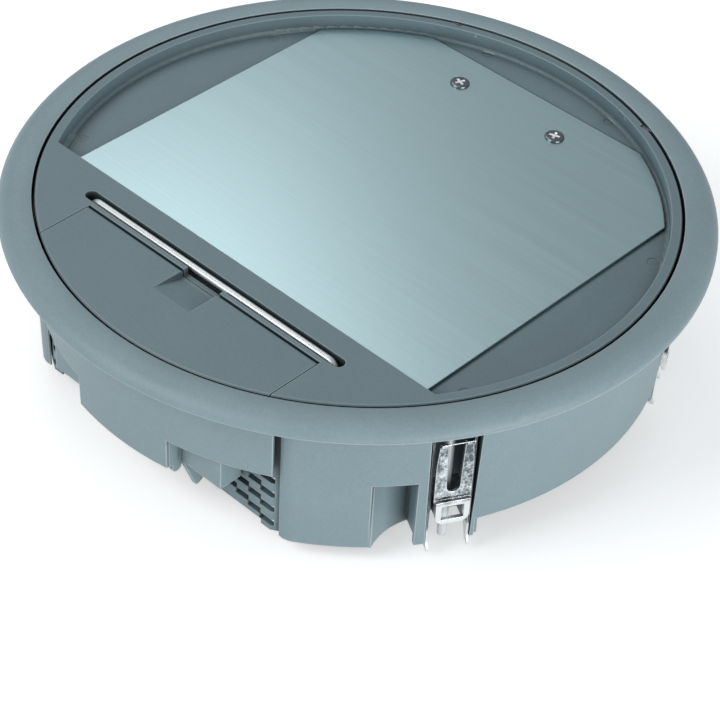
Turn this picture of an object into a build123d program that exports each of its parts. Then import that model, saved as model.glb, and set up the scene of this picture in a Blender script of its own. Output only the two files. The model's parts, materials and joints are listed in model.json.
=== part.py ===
# Round floor socket box with a hinged lid, for a raised floor.
# Millimetres, +Z up. X runs along the handle bar, and the cable flap is at the front, towards -Y.
# The origin is the middle of the underside of the device boxes, which are the lowest parts.
from build123d import *
import os
from math import asin, atan2, cos, degrees, radians, sin, tan

os.makedirs("parts", exist_ok=True)

# Heights
lid_top = 84.0
flange_height = 5.5
floor_level = lid_top - flange_height
seat_depth = 9.0
seat_level = lid_top - seat_depth
seat_thickness = 3.0

# Frame ring
flange_r = 153.0
flange_overhang = 12.0
spigot_r = flange_r - flange_overhang
spigot_depth = 13.0
skirt_inset = 2.0
skirt_top_r = spigot_r - skirt_inset
skirt_wall = 2.5
skirt_step = 2.0
skirt_draft_deg = 2.0
flange_face_w = 14.4
frame_bore_r = flange_r - flange_face_w
seat_ledge_w = 4.6
seat_bore_r = frame_bore_r - seat_ledge_w
flange_edge = 1.2
dome_rise = 0.4

# Skirt depths below the lid top, and the azimuths where they change, measured from the front
depth_deep = 77.0
depth_front = 57.5
depth_side = 67.5
depth_notch = 42.0
front_half_deg = 11.0
deep_half_deg = 46.8
niche_half_deg = 54.4

# Claw bays
bay_deg = 29.7
bay_angles = [bay_deg, 180 - bay_deg, 180 + bay_deg, 360 - bay_deg]
bay_names = ["rear_right", "rear_left", "front_left", "front_right"]
bay_half_top = 10.6
bay_half_foot = 9.4
bay_wall = 2.0
bay_reach = 19.0
bay_back_r = skirt_top_r - bay_reach
bay_depth = 76.0
ledge_depth = 15.5
ledge_thickness = 2.6
claw_screw_inset = 9.0
claw_screw_r = skirt_top_r - claw_screw_inset
claw_screw_d = 4.0
claw_screw_hole_d = 4.6
claw_head_d = 7.5
claw_head_h = 2.8
claw_screw_end_depth = 79.0

# Rounded end of each deep stretch, past a slit beside the shallow band, and the hollow niche wall
band_end_deg = 30.4
corner_start_deg = 34.1
corner_round_r = 9.25
corner_reach = 6.2
corner_wall = 3.0
corner_lap = 1.5
niche_hollow = 2.6
niche_middle_y = 82.0
niche_end_x = 99.0
niche_end_y = 70.6

# Claw and its guide strip
sheet = 1.2
guide_sheet = 1.0
guide_gap = 0.3
guide_inner_reach = 3.0
guide_inner_r = claw_screw_r - guide_inner_reach
guide_outer_reach = 6.0
guide_outer_r = claw_screw_r + guide_outer_reach
guide_back_gap = 1.0
guide_back_r = bay_back_r + guide_back_gap
hook_reach = 1.6
guide_tip_depth = 80.5
claw_gap = 0.4
claw_face_reach = 8.3
claw_face_r = claw_screw_r + claw_face_reach
claw_top_depth = 23.0
claw_plate_bottom = 53.0
claw_bottom_depth = 64.0
claw_back_reach = 6.0
claw_back_r = claw_screw_r - claw_back_reach
claw_top_half = 6.8
claw_shoulder = 10.0
claw_tip_reach = 1.8
claw_nose_reach = 1.6
window_w = 9.4
window_h = 7.2
window_top_depth = 54.4
nose_sheet = 1.7
nose_inset = 0.6
nose_corner_r = 4.0
claw_slot_cut = 1.2
claw_slot_w = 5.6
claw_slot_top_w = 7.4
claw_slot_bottom = 48.2
nut_side = 7.0
nut_h = 3.2
thread_gap = 0.05

# Lid
lid_gap = 1.3
lid_r = frame_bore_r - lid_gap
lid_rim_w = 4.5
recess_r = lid_r - lid_rim_w
lid_under_gap = 1.4
lid_under_r = seat_bore_r - lid_under_gap
lip_gap = 0.3
lid_lip_depth = seat_depth - lip_gap
recess_depth = 7.5
pan_thickness = 3.0
pan_bottom = recess_depth + pan_thickness
recess_side_draft = 1.9
recess_floor_r = recess_r - recess_side_draft
cove_r = 1.6
strip_edge_y = -73.2
rib_inset = 23.0
rib_r = claw_screw_r - rib_inset
rib_width = 2.0
rib_depth = 14.0
lid_chamfer = 0.6
mark_d = 6.0
mark_depth = 0.2
mark_x = 113.0
mark_rear_y = 60.2
mark_front_y = -57.5
mark_back_x = 36.6
mark_back_y = 125.2

# Lid hinge
hinge_inset = 12.6
hinge_y = frame_bore_r - hinge_inset
hinge_drop = 1.5
hinge_pin_d = 2.0
pin_clearance = 0.05
hinge_pin_in = 44.5
hinge_pin_out = 67.0
hinge_bore_end = 68.0
hinge_relief_in = 53.8
hinge_relief_out = 58.9
hinge_relief_reach = 2.2
hinge_relief_y = hinge_y - hinge_relief_reach
hinge_relief_depth = 1.8
rear_cut_half = 60.0

# Steel plate on the lid
plate_half_w = 102.5
plate_gap = 0.3
plate_thickness = 1.2
plate_side_gap = 2.2
plate_r = recess_r - plate_side_gap
plate_back_inset = 15.6
plate_back_y = plate_r - plate_back_inset
plate_screw_x = 28.3
plate_screw_inset = 19.0
plate_screw_y = plate_back_y - plate_screw_inset
plate_screw_d = 4.0
plate_screw_head_d = 8.4
plate_screw_head_h = 1.8
plate_screw_len = 5.0

# Handle bar
bar_d = 3.2
bar_y = -87.15
bar_leg_x = 71.5
bar_bend_r = 4.5
bar_drop = 1.8
bar_leg_depth = 31.0
bar_clearance = 0.1
slot_w = 5.7
slot_half_len = 75.2
slot_depth = 6.5
guide_boss_d = 9.0
guide_boss_depth = 14.5
clip_d = 9.0
clip_h = 1.6
bar_travel = 14.0
clip_rest_gap = 0.3

# Cable flap
flap_half_w = 67.3
flap_pin_y = -94.6
flap_gap = 0.4
flap_lip_depth = 8.5
flap_thickness = 3.8
flap_ledge = 4.1
flap_opening_half = 60.5
flap_opening_y = -98.5
flap_lip_w = 3.0
flap_pin_d = 2.0
flap_pin_in = 62.0
flap_pin_out = 75.0
finger_half_w = 10.5
finger_x = 0.5
finger_front_y = -109.0
finger_depth = 3.0

# Device housing with its vented end walls
housing_half_w = 94.5
housing_set_in = 5.6
housing_r = skirt_top_r - housing_set_in
housing_end_inset = 17.6
housing_end_y = housing_r - housing_end_inset
housing_wall = 2.4
housing_top_depth = 20.0
housing_bottom_depth = 76.0
vent_foot_depth = 73.7
vent_foot_half_w = 61.0
vent_len = 7.6
vent_h = 3.3
vent_pitch_x = 6.9
vent_pitch_z = 7.8
vent_step_z = 2.2
vent_columns = 4
vent_rows = 4
vent_first_x = 63.8
vent_first_depth = 72.0
window_side = 14.0
window_depth = 49.0
port_inner_x = 26.0
port_outer_x = 50.0
port_front_inset = 11.0
port_front_y = skirt_top_r - port_front_inset
port_wall = 2.0
port_depth = 57.0
port_top_depth = 34.0
port_gap = 1.0
port_lap = 0.6
port_return_lap = 1.0
port_return_y = port_front_y - port_return_lap
port_return_end_inset = 4.8
port_return_end_y = skirt_top_r - port_return_end_inset
port_tab_w = 4.8
port_tab_h = 9.0
port_tab_r = 2.2
port_tab_depth = 62.0
fin_tip_reach = 4.5
fin_tip_y = housing_end_y + fin_tip_reach
fin_tip_depth = 75.0
fin_tip_w = 1.2

# Posts and ears that hold the housing
post_reach = 9.5
post_x = housing_half_w + post_reach
post_y = 25.0
post_d = 9.0
post_web = 3.0
post_depth = 34.0
ear_thickness = 3.0
housing_screw_d = 3.5
housing_screw_len = 12.0
housing_screw_head_d = 6.8
housing_screw_head_h = 2.2
screw_gap = 0.05

# Device boxes
box_side_gap = 0.6
box_gap = 1.5
box_w = (2 * (housing_half_w - housing_wall - box_side_gap) - 2 * box_gap) / 3
box_pitch = box_w + box_gap
box_front_y = -75.0
box_rear_y = 93.0
box_wall = 1.8
box_top = 40.0
cover_thickness = 2.0
bar_w = 8.0
bar_h = 8.0
bar_gap = 1.0
tab_w = 20.0
tab_thickness = 2.5
box_screw_d = 4.0
box_screw_head_d = 7.5
box_screw_head_h = 2.4
box_screw_len = 9.0
device_pitch = 50.0
box_x = [-box_pitch, 0.0, box_pitch]
box_mid_y = (box_front_y + box_rear_y) / 2
device_y = [box_mid_y - device_pitch, box_mid_y, box_mid_y + device_pitch]
box_tab_y = [box_front_y - bar_gap - bar_w / 2, box_rear_y + bar_gap + bar_w / 2]
insert_side = 45.0
insert_depth = 24.0
insert_gap = 0.2
insert_rise = 1.0
well_d = 39.5
well_depth = 17.5
key_depth = 1.6
key_w = 5.0
insert_flange = 49.0
pin_hole_d = 5.2
pin_hole_pitch = 19.0
pin_hole_depth = 4.0
earth_w = 4.0
earth_thickness = 1.0
centre_screw_d = 6.0
centre_screw_h = 1.6
centre_shank_d = 3.0
centre_screw_len = 4.0
jack_w = 14.6
jack_h = 11.6
jack_depth = 14.0
jack_key_w = 6.0
jack_key_h = 1.8
jack_pitch = 22.5
outlet_depth = 22.0
entry_d = 18.0
entry_pitch = 28.0
entry_z = 15.0


def skirt_radius(depth):
    """Outer radius of the drafted skirt at a depth below the lid top."""
    return skirt_top_r - (depth - spigot_depth - skirt_step) * tan(radians(skirt_draft_deg))


def at_bays(radius):
    """A sketch place in each bay at this radius, turned so that its X points outwards."""
    return [Location((radius * cos(radians(a)), radius * sin(radians(a))), a) for a in bay_angles]


def bay_plane(angle, radius):
    """An upright plane across a bay: its X is sideways, its Y is up and it faces outwards."""
    outward = (cos(radians(angle)), sin(radians(angle)), 0)
    origin = (radius * outward[0], radius * outward[1], lid_top)
    return Plane(origin=origin, x_dir=(-outward[1], outward[0], 0), z_dir=outward)


def side_plane(angle, offset=0.0):
    """An upright plane along a bay's middle: its X points outwards and its Y is up."""
    outward = (cos(radians(angle)), sin(radians(angle)), 0)
    sideways = (outward[1], -outward[0], 0)
    origin = (offset * sideways[0], offset * sideways[1], lid_top)
    return Plane(origin=origin, x_dir=outward, z_dir=sideways)


def wedge(middle_deg, half_deg):
    """Corner points of a wedge from the centre out past the flange."""
    reach = 1.2 * flange_r
    turns = [middle_deg + half_deg * step for step in (-1, -0.5, 0, 0.5, 1)]
    return [(0, 0)] + [(reach * cos(radians(a)), reach * sin(radians(a))) for a in turns]


def corner_wedges(from_deg, to_deg):
    """The four wedges between two azimuths that are measured from the front and from the back."""
    middle, half = (from_deg + to_deg) / 2, (to_deg - from_deg) / 2
    return [wedge(end + side * middle, half) for end in (-90, 90) for side in (-1, 1)]


corners = [(sx, sy) for sx in (-1, 1) for sy in (-1, 1)]
deep_z = lid_top - depth_deep
neck_z = lid_top - spigot_depth
skirt_z = neck_z - skirt_step
ledge_z = lid_top - ledge_depth
bay_z = lid_top - bay_depth

# The seat is left out of this rear stretch, because the lid's rear lip dips there as it opens
with BuildPart() as rear_relief:
    with BuildSketch(Plane.XZ):
        Polygon(
            (seat_bore_r - 2.0, seat_level + 1.0),
            (frame_bore_r, seat_level + 1.0),
            (frame_bore_r, seat_level - 0.6),
            (skirt_top_r - skirt_wall, skirt_z),
            (seat_bore_r - 2.0, skirt_z),
            align=None,
        )
    revolve(axis=Axis.Z)
    with BuildSketch(Plane.XY.offset(deep_z)):
        Rectangle(2 * rear_cut_half, flange_r, align=(Align.CENTER, Align.MIN))
    extrude(amount=depth_deep, mode=Mode.INTERSECT)

# The end of each deep stretch turns in with a round corner, on the same draft as the skirt
corner_turn = asin(corner_reach / corner_round_r)
with BuildPart() as round_corners:
    for depth in (depth_deep, spigot_depth + skirt_step / 2):
        outer_r = skirt_radius(depth)
        inner_r = outer_r - corner_wall
        out_x = sin(radians(corner_start_deg))
        out_y = cos(radians(corner_start_deg))
        with BuildSketch(Plane(origin=(0, 0, lid_top - depth), x_dir=(out_x, out_y, 0))):
            with BuildLine():
                arc_end = (outer_r - corner_round_r * (1 - cos(corner_turn)), corner_reach)
                ThreePointArc(
                    (outer_r, 0),
                    (
                        outer_r - corner_round_r * (1 - cos(corner_turn / 2)),
                        corner_round_r * sin(corner_turn / 2),
                    ),
                    arc_end,
                )
                Polyline(
                    arc_end,
                    ((inner_r**2 - corner_reach**2) ** 0.5, corner_reach),
                    (inner_r, -corner_lap),
                    (outer_r - corner_lap / 2, -corner_lap),
                    (outer_r, 0),
                )
            make_face()
    loft()
    mirror(about=Plane.YZ)
    mirror(about=Plane.XZ)

# Mounting frame: flange ring, lid seat, skirt and claw bays, moulded in one piece
with BuildPart() as mounting_frame:
    with BuildSketch(Plane.XZ):
        with BuildLine():
            Polyline(
                (frame_bore_r + 0.8, lid_top + dome_rise),
                (frame_bore_r, lid_top),
                (frame_bore_r, seat_level),
                (seat_bore_r, seat_level),
                (seat_bore_r, seat_level - seat_thickness),
                (skirt_top_r - skirt_wall, skirt_z),
                (skirt_radius(depth_deep) - skirt_wall, deep_z),
                (skirt_radius(depth_deep), deep_z),
                (skirt_top_r, skirt_z),
                (spigot_r, neck_z),
                (spigot_r, floor_level),
                (flange_r, floor_level),
                (flange_r, floor_level + flange_edge),
            )
            ThreePointArc(
                (flange_r, floor_level + flange_edge),
                (flange_r - 2.2, lid_top - 1.5),
                (flange_r - 8.0, lid_top + dome_rise),
            )
            Line((flange_r - 8.0, lid_top + dome_rise), (frame_bore_r + 0.8, lid_top + dome_rise))
        make_face()
    revolve(axis=Axis.Z)
    # The skirt is cut back to its own depth in each stretch
    for from_deg, to_deg, depth in (
        (0, front_half_deg, depth_front),
        (front_half_deg, band_end_deg, depth_notch),
        (band_end_deg, corner_start_deg, spigot_depth + skirt_step),
        (deep_half_deg, niche_half_deg, depth_notch),
    ):
        with BuildSketch(Plane.XY.offset(deep_z)):
            for points in corner_wedges(from_deg, to_deg):
                Polygon(*points, align=None)
        extrude(amount=depth_deep - depth, mode=Mode.SUBTRACT)
    side_half_deg = bay_deg - degrees(asin((bay_half_foot + bay_wall) / skirt_top_r))
    with BuildSketch(Plane.XY.offset(deep_z)):
        for middle_deg in (0, 180):
            Polygon(*wedge(middle_deg, side_half_deg), align=None)
    extrude(amount=depth_deep - depth_side, mode=Mode.SUBTRACT)
    # Each claw bay is a pocket of two guide walls and a back wall under a ledge
    pocket_outer_r = skirt_top_r - skirt_wall - 0.5
    with BuildSketch(Plane.XY.offset(bay_z)):
        with Locations(*at_bays((bay_back_r - bay_wall + pocket_outer_r) / 2)):
            Rectangle(pocket_outer_r - bay_back_r + bay_wall, 2 * (bay_half_top + bay_wall))
    extrude(amount=ledge_z - bay_z)
    for angle in bay_angles:
        with BuildSketch(bay_plane(angle, bay_back_r)):
            Polygon(
                (-bay_half_top, -ledge_depth - ledge_thickness),
                (bay_half_top, -ledge_depth - ledge_thickness),
                (bay_half_foot, -bay_depth - 2.0),
                (-bay_half_foot, -bay_depth - 2.0),
                align=None,
            )
        extrude(amount=flange_r - bay_back_r, mode=Mode.SUBTRACT)
    with BuildSketch(Plane.XY.offset(ledge_z)):
        with Locations(*at_bays(claw_screw_r)):
            Circle(claw_screw_hole_d / 2)
    extrude(amount=-ledge_thickness, mode=Mode.SUBTRACT)
    # A hollow return wall closes each niche between a deep stretch and a bay
    deep_end = radians(90 - deep_half_deg)
    return_r = skirt_radius(depth_notch) - skirt_wall / 2
    for sx, sy in corners:
        with BuildSketch(Plane.XY.offset(deep_z)):
            with BuildLine():
                ThreePointArc(
                    (sx * return_r * cos(deep_end), sy * return_r * sin(deep_end)),
                    (sx * (return_r * cos(deep_end) - niche_hollow), sy * niche_middle_y),
                    (sx * niche_end_x, sy * niche_end_y),
                )
            trace(line_width=bay_wall)
        extrude(amount=depth_deep - depth_notch + 3.0)
    add(round_corners.part)
    # Cable ports stand in the front and rear notches, open at their foot
    port_w = port_outer_x - port_inner_x
    port_l = port_front_y - housing_end_y - port_gap
    for sx, sy in corners:
        middle = (sx * (port_inner_x + port_outer_x) / 2, sy * (port_front_y - port_l / 2))
        with BuildSketch(Plane.XY.offset(lid_top - port_depth)):
            with Locations(middle):
                Rectangle(port_w, port_l)
            with Locations((middle[0], middle[1] - sy * port_wall)):
                Rectangle(port_w - 2 * port_wall, port_l, mode=Mode.SUBTRACT)
        extrude(amount=port_depth - port_top_depth)
        # A return wall joins the port to the front stretch and ends in a rounded tab
        return_x = port_inner_x + port_lap - port_wall / 2
        with BuildSketch(Plane.XY.offset(lid_top - depth_front)):
            with Locations((sx * return_x, sy * (port_return_y + port_return_end_y) / 2)):
                Rectangle(port_wall, port_return_end_y - port_return_y)
        extrude(amount=depth_front - port_top_depth)
        with BuildSketch(Plane.YZ.offset(sx * return_x)):
            tab_y = sy * (port_return_y + (port_tab_w + port_lap) / 2)
            with Locations((tab_y, lid_top - port_tab_depth + port_tab_h / 2)):
                RectangleRounded(port_tab_w, port_tab_h, port_tab_r)
        extrude(amount=port_wall / 2, both=True)
        # The port's inner wall runs down into a pointed fin
        with BuildSketch(Plane.YZ.offset(sx * (port_inner_x + port_wall / 2))):
            fin_back_y = port_front_y - port_l
            Polygon(
                (sy * port_front_y, lid_top - port_depth + port_wall),
                (sy * port_front_y, lid_top - port_depth),
                (sy * (fin_tip_y + fin_tip_w / 2), lid_top - fin_tip_depth + fin_tip_w / 2),
                (sy * fin_tip_y, lid_top - fin_tip_depth),
                (sy * (fin_tip_y - fin_tip_w), lid_top - fin_tip_depth),
                (sy * fin_back_y, lid_top - fin_tip_depth + fin_tip_w),
                (sy * fin_back_y, lid_top - port_depth + port_wall),
                align=None,
            )
        extrude(amount=port_wall / 2, both=True)
    # Posts for the housing's screws, each tied to the skirt by a web
    with BuildSketch(Plane.XY.offset(lid_top - post_depth)):
        for sx, sy in corners:
            with Locations((sx * post_x, sy * post_y)):
                Rectangle(
                    skirt_top_r - post_x,
                    post_web,
                    align=(Align.MIN if sx > 0 else Align.MAX, Align.CENTER),
                )
        Circle(skirt_radius(post_depth) - skirt_wall / 2, mode=Mode.INTERSECT)
        with Locations(*[(sx * post_x, sy * post_y) for sx, sy in corners]):
            Circle(post_d / 2)
            Circle(housing_screw_d / 2 + screw_gap, mode=Mode.SUBTRACT)
    extrude(amount=post_depth - housing_top_depth)
    add(rear_relief.part, mode=Mode.SUBTRACT)
    # Blind bores for the lid's hinge pins
    for sx in (-1, 1):
        with BuildSketch(Plane.YZ.offset(sx * hinge_bore_end)):
            with Locations((hinge_y, lid_top - hinge_drop)):
                Circle(hinge_pin_d / 2 + pin_clearance)
        extrude(amount=-sx * (hinge_bore_end - hinge_relief_in), mode=Mode.SUBTRACT)
mounting_frame.part.label = "mounting_frame"

# Device housing: a vented ring of walls that carries the device boxes on two cross bars
housing_h = housing_bottom_depth - housing_top_depth
bar_top = box_top - cover_thickness - tab_thickness
with BuildPart() as device_housing:
    with BuildSketch(Plane.XY.offset(lid_top - housing_bottom_depth)):
        Rectangle(2 * housing_half_w, 2 * housing_end_y)
        Circle(housing_r, mode=Mode.INTERSECT)
        Rectangle(
            2 * (housing_half_w - housing_wall), 2 * (housing_end_y - housing_wall), mode=Mode.SUBTRACT
        )
    extrude(amount=housing_h)
    with BuildSketch(Plane.XY.offset(lid_top - housing_bottom_depth)):
        Rectangle(2 * housing_half_w, 2 * housing_end_y)
        Circle(housing_r, mode=Mode.INTERSECT)
        Circle(housing_r - housing_wall, mode=Mode.SUBTRACT)
    extrude(amount=housing_h)
    with BuildSketch(Plane.XY.offset(lid_top - housing_bottom_depth)):
        Rectangle(2 * vent_foot_half_w, 2 * housing_end_y + 2)
    extrude(amount=housing_bottom_depth - vent_foot_depth, mode=Mode.SUBTRACT)
    # Staggered ventilation slots through both end walls, joined corner to corner in rising rows
    with BuildSketch(Plane.XZ.offset(-housing_end_y - 1)):
        for sx in (-1, 1):
            for column in range(vent_columns):
                for row in range(vent_rows):
                    slot_depth_here = vent_first_depth - row * vent_pitch_z - column * vent_step_z
                    place = (sx * (vent_first_x - column * vent_pitch_x), lid_top - slot_depth_here)
                    with Locations(place):
                        Rectangle(vent_len, vent_h)
    extrude(amount=2 * housing_end_y + 2, mode=Mode.SUBTRACT)
    # Cable windows behind the ports
    with BuildSketch(Plane.XZ.offset(-housing_end_y - 1)):
        for sx in (-1, 1):
            with Locations((sx * (port_inner_x + port_outer_x) / 2, lid_top - window_depth)):
                RectangleRounded(window_side, window_side * 0.7, 1.5)
    extrude(amount=2 * housing_end_y + 2, mode=Mode.SUBTRACT)
    # Cross bars under the boxes' tabs
    with BuildSketch(Plane.XY.offset(bar_top - bar_h)):
        for bar_middle in (box_front_y - bar_gap - bar_w / 2, box_rear_y + bar_gap + bar_w / 2):
            with Locations((0, bar_middle)):
                Rectangle(2 * housing_half_w - housing_wall, bar_w)
        Circle(housing_r - housing_wall / 2, mode=Mode.INTERSECT)
        with Locations(*[(x, y) for x in box_x for y in box_tab_y]):
            Circle(box_screw_d / 2 + screw_gap, mode=Mode.SUBTRACT)
    extrude(amount=bar_h)
    # Ears rest on the frame's posts
    with BuildSketch(Plane.XY.offset(lid_top - housing_top_depth)):
        for sx, sy in corners:
            with Locations((sx * (housing_half_w - housing_wall), sy * post_y)):
                Rectangle(
                    post_x + post_d / 2 - housing_half_w + housing_wall,
                    post_d,
                    align=(Align.MIN if sx > 0 else Align.MAX, Align.CENTER),
                )
            with Locations((sx * post_x, sy * post_y)):
                Circle(housing_screw_d / 2 + screw_gap, mode=Mode.SUBTRACT)
    extrude(amount=ear_thickness)
device_housing.part.label = "device_housing"


def pan_screw(x, y, seat_z, shank_d, length, head_d, head_h):
    """A pan-head screw pointing down, its head resting at seat_z, with a cross recess."""
    with BuildPart() as screw:
        with BuildSketch(Plane.XY.offset(seat_z)):
            with Locations((x, y)):
                Circle(head_d / 2)
        extrude(amount=head_h)
        with BuildSketch(Plane.XY.offset(seat_z)):
            with Locations((x, y)):
                Circle(shank_d / 2)
        extrude(amount=-length)
        with BuildSketch(Plane.XY.offset(seat_z + head_h)):
            with Locations((x, y)):
                Rectangle(0.62 * head_d, 0.14 * head_d)
                Rectangle(0.14 * head_d, 0.62 * head_d)
        extrude(amount=-0.5 * head_h, mode=Mode.SUBTRACT)
    return screw.part


housing_screws = Compound(
    label="housing_screws",
    children=[
        pan_screw(
            sx * post_x,
            sy * post_y,
            lid_top - housing_top_depth + ear_thickness,
            housing_screw_d,
            housing_screw_len,
            housing_screw_head_d,
            housing_screw_head_h,
        )
        for sx, sy in corners
    ],
)

# Device boxes: three open trays side by side, each held by a tab at both ends
box_l = box_rear_y - box_front_y
tray_top = box_top - cover_thickness
device_boxes = {}
for box_name, x in zip(("left", "centre", "right"), box_x):
    with BuildPart() as device_box:
        with BuildSketch():
            with Locations((x, box_mid_y)):
                RectangleRounded(box_w, box_l, 3.0)
        extrude(amount=tray_top)
        with BuildSketch(Plane.XY.offset(box_wall)):
            with Locations((x, box_mid_y)):
                RectangleRounded(box_w - 2 * box_wall, box_l - 2 * box_wall, 1.5)
        extrude(amount=tray_top, mode=Mode.SUBTRACT)
        # Tabs over the cross bars, each with a screw hole
        for end, y in zip((-1, 1), box_tab_y):
            with BuildSketch(Plane.XY.offset(bar_top)):
                with Locations((x, box_mid_y + end * (box_l / 2 - box_wall / 2))):
                    Rectangle(
                        tab_w,
                        bar_gap + bar_w + box_wall / 2,
                        align=(Align.CENTER, Align.MIN if end > 0 else Align.MAX),
                    )
                with Locations((x, y)):
                    Circle(box_screw_d / 2 + screw_gap, mode=Mode.SUBTRACT)
            extrude(amount=tab_thickness)
        # Cable entries in the rear wall
        with BuildSketch(Plane.XZ.offset(-box_rear_y)):
            with Locations((x - entry_pitch / 2, entry_z), (x + entry_pitch / 2, entry_z)):
                Circle(entry_d / 2)
        extrude(amount=2 * box_wall, both=True, mode=Mode.SUBTRACT)
    device_box.part.label = f"device_box_{box_name}"
    device_boxes[box_name] = device_box.part

# Cover plates: each closes a tray and holds its inserts in three square openings
box_covers = {}
for box_name, x in zip(("left", "centre", "right"), box_x):
    with BuildPart() as box_cover:
        with BuildSketch(Plane.XY.offset(tray_top)):
            with Locations((x, box_mid_y)):
                RectangleRounded(box_w, box_l, 3.0)
            with Locations(*[(x, y) for y in device_y]):
                Rectangle(insert_side + 2 * insert_gap, insert_side + 2 * insert_gap, mode=Mode.SUBTRACT)
        extrude(amount=cover_thickness)
    box_cover.part.label = f"box_cover_{box_name}"
    box_covers[box_name] = box_cover.part

box_screws = Compound(
    label="box_screws",
    children=[
        pan_screw(
            x, y, bar_top + tab_thickness, box_screw_d, box_screw_len, box_screw_head_d, box_screw_head_h
        )
        for x in box_x
        for y in box_tab_y
    ],
)

# Earthed socket inserts in the outer boxes, each with its bent earth contact and centre screw
insert_top = box_top + insert_rise
well_z = insert_top - well_depth
contact_half = well_d / 2 - 0.6
power_sockets, earth_contacts, centre_screws = {}, {}, []
for box_name, x in (("left", box_x[0]), ("right", box_x[2])):
    for place_name, y in zip(("front", "middle", "rear"), device_y):
        name = f"{box_name}_{place_name}"
        with BuildPart() as power_socket:
            with BuildSketch(Plane.XY.offset(insert_top)):
                with Locations((x, y)):
                    RectangleRounded(insert_flange, insert_flange, 2.0)
            extrude(amount=-insert_rise)
            with BuildSketch(Plane.XY.offset(insert_top)):
                with Locations((x, y)):
                    Rectangle(insert_side, insert_side)
            extrude(amount=-insert_depth)
            with BuildSketch(Plane.XY.offset(insert_top)):
                with Locations((x, y)):
                    Circle(well_d / 2)
                    with Locations((-well_d / 2, 0), (well_d / 2, 0)):
                        Rectangle(2 * key_depth, key_w, mode=Mode.SUBTRACT)
            extrude(amount=-well_depth, mode=Mode.SUBTRACT)
            with BuildSketch(Plane.XY.offset(well_z)):
                with Locations((x - pin_hole_pitch / 2, y), (x + pin_hole_pitch / 2, y)):
                    Circle(pin_hole_d / 2)
                with Locations((x, y)):
                    Circle(centre_shank_d / 2 + screw_gap)
            extrude(amount=-pin_hole_depth, mode=Mode.SUBTRACT)
        power_socket.part.label = f"power_socket_{name}"
        power_sockets[name] = power_socket.part
        with BuildPart() as earth_contact:
            with BuildSketch(Plane.XY.offset(well_z)):
                with Locations((x, y)):
                    Rectangle(earth_w, 2 * contact_half)
                    Circle(centre_shank_d / 2 + screw_gap, mode=Mode.SUBTRACT)
            extrude(amount=earth_thickness)
            for side in (-1, 1):
                with BuildSketch(Plane.XY.offset(well_z)):
                    with Locations((x, y + side * (contact_half - earth_thickness / 2))):
                        Rectangle(earth_w, earth_thickness)
                extrude(amount=well_depth - 1.5)
        earth_contact.part.label = f"earth_contact_{name}"
        earth_contacts[name] = earth_contact.part
        screw_seat = well_z + earth_thickness
        centre_screws.append(
            pan_screw(
                x, y, screw_seat, centre_shank_d, centre_screw_len, centre_screw_d, centre_screw_h
            )
        )
centre_screws = Compound(label="centre_screws", children=centre_screws)

# Data outlets in the middle box: an insert with two stepped ports
data_outlets = {}
for place_name, y in zip(("front", "middle", "rear"), device_y):
    x = box_x[1]
    with BuildPart() as data_outlet:
        with BuildSketch(Plane.XY.offset(insert_top)):
            with Locations((x, y)):
                RectangleRounded(insert_flange, insert_flange, 2.0)
        extrude(amount=-insert_rise)
        with BuildSketch(Plane.XY.offset(insert_top)):
            with Locations((x, y)):
                Rectangle(insert_side, insert_side)
        extrude(amount=-outlet_depth)
        with BuildSketch(Plane.XY.offset(insert_top)):
            with Locations((x - jack_pitch / 2, y), (x + jack_pitch / 2, y)):
                Rectangle(jack_w, jack_h)
            with Locations((x - jack_pitch / 2, y - jack_h / 2), (x + jack_pitch / 2, y - jack_h / 2)):
                Rectangle(jack_key_w, 2 * jack_key_h)
        extrude(amount=-jack_depth, mode=Mode.SUBTRACT)
    data_outlet.part.label = f"data_outlet_{place_name}"
    data_outlets[place_name] = data_outlet.part

# Claw guides: a bent steel strip in each bay, two legs joined under the ledge
guide_leg_out = bay_half_foot - guide_gap
guide_leg_in = guide_leg_out - guide_sheet
guide_top = ledge_z - ledge_thickness
guide_top_depth = ledge_depth + ledge_thickness
claw_guides = {}
for bay_name, angle in zip(bay_names, bay_angles):
    with BuildPart() as claw_guide:
        with BuildSketch(Plane.XY.offset(guide_top)):
            with Locations(Location((0, 0), angle)):
                with Locations(((guide_back_r + guide_outer_r) / 2, 0)):
                    Rectangle(guide_outer_r - guide_back_r, 2 * guide_leg_out)
                with Locations((claw_screw_r, 0)):
                    Circle(claw_screw_hole_d / 2, mode=Mode.SUBTRACT)
        extrude(amount=-guide_sheet)
        for side in (-1, 1):
            with BuildSketch(side_plane(angle, side * (guide_leg_in + guide_leg_out) / 2)):
                Polygon(
                    (guide_inner_r, -guide_top_depth - guide_sheet / 2),
                    (guide_outer_r, -guide_top_depth - guide_sheet / 2),
                    (guide_outer_r, -guide_tip_depth + 4.0),
                    (guide_outer_r + hook_reach, -guide_tip_depth + 1.5),
                    (guide_outer_r + hook_reach, -guide_tip_depth),
                    (guide_outer_r - 1.5, -guide_tip_depth + 0.6),
                    (guide_inner_r, -guide_tip_depth + 18.0),
                    align=None,
                )
            extrude(amount=guide_sheet / 2, both=True)
    claw_guide.part.label = f"claw_guide_{bay_name}"
    claw_guides[bay_name] = claw_guide.part

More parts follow.
